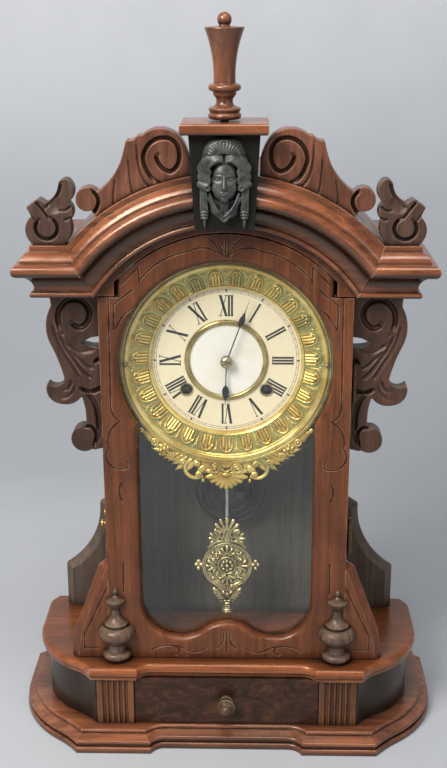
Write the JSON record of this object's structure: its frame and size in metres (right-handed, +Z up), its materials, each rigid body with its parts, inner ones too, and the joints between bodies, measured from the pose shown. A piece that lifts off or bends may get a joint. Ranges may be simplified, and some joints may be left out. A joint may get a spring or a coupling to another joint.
{
  "type": "shelf clock",
  "caption": "Walnut shelf clock with an arched moulded cornice, carved crest and scrolls, a glazed door over a round dial and pendulum, and a drawer in a serpentine base.",
  "frame": {"origin": "middle of the base on the surface that the clock stands on", "axes": "+X to the viewer's right, +Y away from the viewer, +Z up"},
  "size_m": [0.39, 0.152, 0.642],
  "materials": {
    "walnut": "shellac over walnut",
    "carved_walnut": "worn carved walnut",
    "dark_burl": "polished dark burl",
    "bronzed_relief": "bronzed carving",
    "glass": "clear old glass",
    "gilt_brass": "gilt with green wear",
    "dial_paint": "cream paint",
    "blued_steel": "blued steel",
    "brass": "aged brass",
    "antique_brass": "antiqued casting",
    "steel": "plain steel",
    "iron": "black iron"
  },
  "bodies": {
    "case": {"foot_board": "walnut", "plinth_moulding": "walnut", "base_end_panels": "dark_burl", "pilasters": "walnut", "base_carcass": "walnut", "shelf_board": "walnut", "case_sides": "walnut", "case_back_board": "walnut", "case_top_board": "walnut", "arch_head_board": "walnut", "shoulder_boards": "walnut", "cornice_arch": "walnut", "cornice_returns": "walnut", "keystone_block": "dark_burl", "keystone_mask": "bronzed_relief", "keystone_cap": "walnut", "top_finial": "walnut", "pediment_scrolls": "carved_walnut", "corner_crests": "carved_walnut", "side_scrolls": "carved_walnut", "rear_brackets": "carved_walnut", "hinge_case_leaves": "brass", "hook_pivot": "brass", "dial_board": "walnut", "dial_plate": "dial_paint", "dial_bezel": "gilt_brass", "bezel_pendant": "gilt_brass", "dial_rings": "gilt_brass", "movement_frame": "brass", "mainsprings": "steel", "suspension_cock": "brass", "gong_coil": "steel", "gong_block": "iron"},
    "drawer": {"drawer_front": "dark_burl", "drawer_box": "walnut", "drawer_bottom": "walnut", "drawer_knob": "walnut"},
    "door": {"door_frame": "walnut", "door_wings": "walnut", "door_glass": "glass", "glass_stops": "walnut", "door_urns": "walnut", "hinge_door_leaves": "brass", "door_pin": "brass"},
    "hook": {"door_hook": "brass"},
    "minute": {"minute_hand": "blued_steel", "hand_nut": "brass", "cannon_pinion": "brass"},
    "hour": {"hour_hand": "blued_steel", "hour_wheel": "brass"},
    "motion": {"motion_wheel": "brass"},
    "centre": {"centre_wheel": "brass"},
    "third": {"third_wheel": "brass"},
    "escape": {"escape_wheel": "brass"},
    "verge": {"verge": "steel"},
    "pendulum": {"pendulum_rod": "steel", "pendulum_bob": "antique_brass"},
    "hammer": {"strike_hammer": "steel"},
    "strike_arbor": {"strike_winder": "steel"},
    "time_arbor": {"time_winder": "steel"}
  },
  "joints": [
    {"name": "drawer_slide", "type": "slide", "parent": "case", "child": "drawer", "axis": [0, -1, 0], "range_m": [0, 0.075]},
    {"name": "door_swing", "type": "hinge", "parent": "case", "child": "door", "pos_m": [0.1088, -0.0335, 0.25], "axis": [0, 0, 1], "range_deg": [0, 90]},
    {"name": "hook_swing", "type": "hinge", "parent": "case", "child": "hook", "pos_m": [-0.1077, -0.011, 0.2096], "axis": [1, 0, 0], "range_deg": [0, 270]},
    {"name": "minute_turn", "type": "hinge", "parent": "case", "child": "minute", "pos_m": [0, -0.0186, 0.3538], "axis": [0, 1, 0], "continuous": true},
    {"name": "hour_turn", "type": "hinge", "parent": "case", "child": "hour", "pos_m": [0, -0.0162, 0.3538], "axis": [0, 1, 0], "continuous": true},
    {"name": "motion_turn", "type": "hinge", "parent": "case", "child": "motion", "pos_m": [0, 0, 0.3718], "axis": [0, 1, 0], "continuous": true},
    {"name": "escape_turn", "type": "hinge", "parent": "case", "child": "escape", "pos_m": [0, 0, 0.3068], "axis": [0, 1, 0], "continuous": true},
    {"name": "third_turn", "type": "hinge", "parent": "case", "child": "third", "pos_m": [0, 0.011, 0.3298], "axis": [0, 1, 0], "continuous": true},
    {"name": "centre_turn", "type": "hinge", "parent": "case", "child": "centre", "pos_m": [0, 0.007, 0.3538], "axis": [0, 1, 0], "continuous": true},
    {"name": "pendulum_swing", "type": "hinge", "parent": "case", "child": "pendulum", "pos_m": [0, -0.007, 0.3268], "axis": [0, 1, 0], "range_deg": [-4, 4]},
    {"name": "verge_rock", "type": "hinge", "parent": "case", "child": "verge", "pos_m": [0, 0, 0.3268], "axis": [0, 1, 0], "range_deg": [-4, 4]},
    {"name": "hammer_swing", "type": "hinge", "parent": "case", "child": "hammer", "pos_m": [0.024, 0.019, 0.3018], "axis": [0, 1, 0], "range_deg": [0, 8]},
    {"name": "strike_wind", "type": "hinge", "parent": "case", "child": "strike_arbor", "pos_m": [-0.0348, 0.009, 0.3273], "axis": [0, 1, 0], "continuous": true},
    {"name": "time_wind", "type": "hinge", "parent": "case", "child": "time_arbor", "pos_m": [0.0348, 0.009, 0.3273], "axis": [0, 1, 0], "continuous": true}
  ],
  "couplings": [
    {"joint": "motion_turn", "follows": "minute_turn", "ratio": -0.33333},
    {"joint": "hour_turn", "follows": "minute_turn", "ratio": 0.083333},
    {"joint": "third_turn", "follows": "escape_turn", "ratio": -0.15},
    {"joint": "centre_turn", "follows": "escape_turn", "ratio": 0.021429},
    {"joint": "verge_rock", "follows": "pendulum_swing", "ratio": 1}
  ]
}
